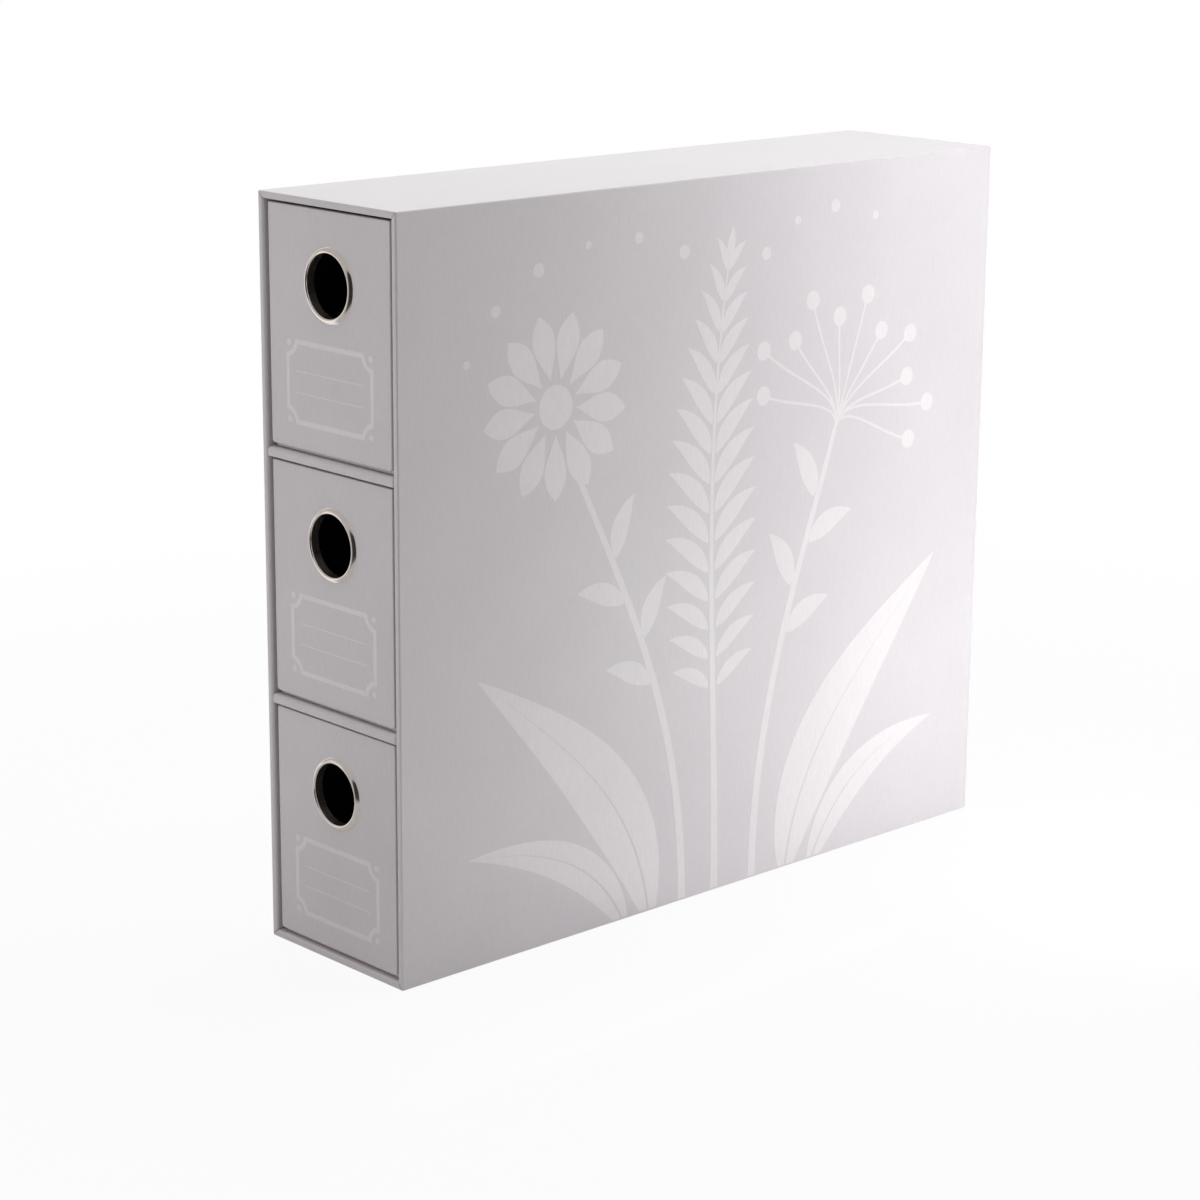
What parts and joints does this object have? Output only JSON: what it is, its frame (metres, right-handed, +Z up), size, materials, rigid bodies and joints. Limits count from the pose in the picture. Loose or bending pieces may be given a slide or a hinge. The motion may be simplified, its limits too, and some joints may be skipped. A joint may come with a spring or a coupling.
{
  "type": "trading card drawer box",
  "caption": "Tall narrow cardboard slipcase for trading cards, with stacked pull-out drawers that each have a round metal finger ring in the front.",
  "frame": {"origin": "centre of the footprint, on the surface the box stands on", "axes": "+X across the width, +Y from the drawer fronts to the back, +Z up"},
  "size_m": [0.0984, 0.398, 0.36],
  "materials": {
    "cover_paper": "pearlescent white, fine grain",
    "case_lining": "matt white",
    "drawer_lining": "matt black",
    "greyboard": "matt grey",
    "ring_nickel": "polished nickel plate"
  },
  "bodies": {
    "case": {"left_board": "greyboard", "right_board": "greyboard", "bottom_board": "greyboard", "top_board": "greyboard", "back_board": "greyboard", "left_lining": "case_lining", "right_lining": "case_lining", "floor_lining": "case_lining", "ceiling_lining": "case_lining", "back_lining": "case_lining", "back_paper": "cover_paper", "base_paper": "cover_paper", "case_wrap": "cover_paper", "lower_shelf_board": "greyboard", "lower_shelf_paper": "cover_paper", "upper_shelf_board": "greyboard", "upper_shelf_paper": "cover_paper"},
    "lower_drawer": {"lower_drawer_front": "greyboard", "lower_drawer_back": "greyboard", "lower_drawer_left_side": "greyboard", "lower_drawer_right_side": "greyboard", "lower_drawer_bottom": "greyboard", "lower_drawer_wrap": "cover_paper", "lower_drawer_lining": "drawer_lining", "lower_drawer_ring": "ring_nickel", "lower_drawer_ring_washer": "ring_nickel"},
    "middle_drawer": {"middle_drawer_front": "greyboard", "middle_drawer_back": "greyboard", "middle_drawer_left_side": "greyboard", "middle_drawer_right_side": "greyboard", "middle_drawer_bottom": "greyboard", "middle_drawer_wrap": "cover_paper", "middle_drawer_lining": "drawer_lining", "middle_drawer_ring": "ring_nickel", "middle_drawer_ring_washer": "ring_nickel"},
    "upper_drawer": {"upper_drawer_front": "greyboard", "upper_drawer_back": "greyboard", "upper_drawer_left_side": "greyboard", "upper_drawer_right_side": "greyboard", "upper_drawer_bottom": "greyboard", "upper_drawer_wrap": "cover_paper", "upper_drawer_lining": "drawer_lining", "upper_drawer_ring": "ring_nickel", "upper_drawer_ring_washer": "ring_nickel"}
  },
  "joints": [
    {"name": "lower_drawer_slide", "type": "slide", "parent": "case", "child": "lower_drawer", "axis": [0, -1, 0], "range_m": [0, 0.395]},
    {"name": "middle_drawer_slide", "type": "slide", "parent": "case", "child": "middle_drawer", "axis": [0, -1, 0], "range_m": [0, 0.395]},
    {"name": "upper_drawer_slide", "type": "slide", "parent": "case", "child": "upper_drawer", "axis": [0, -1, 0], "range_m": [0, 0.395]}
  ]
}
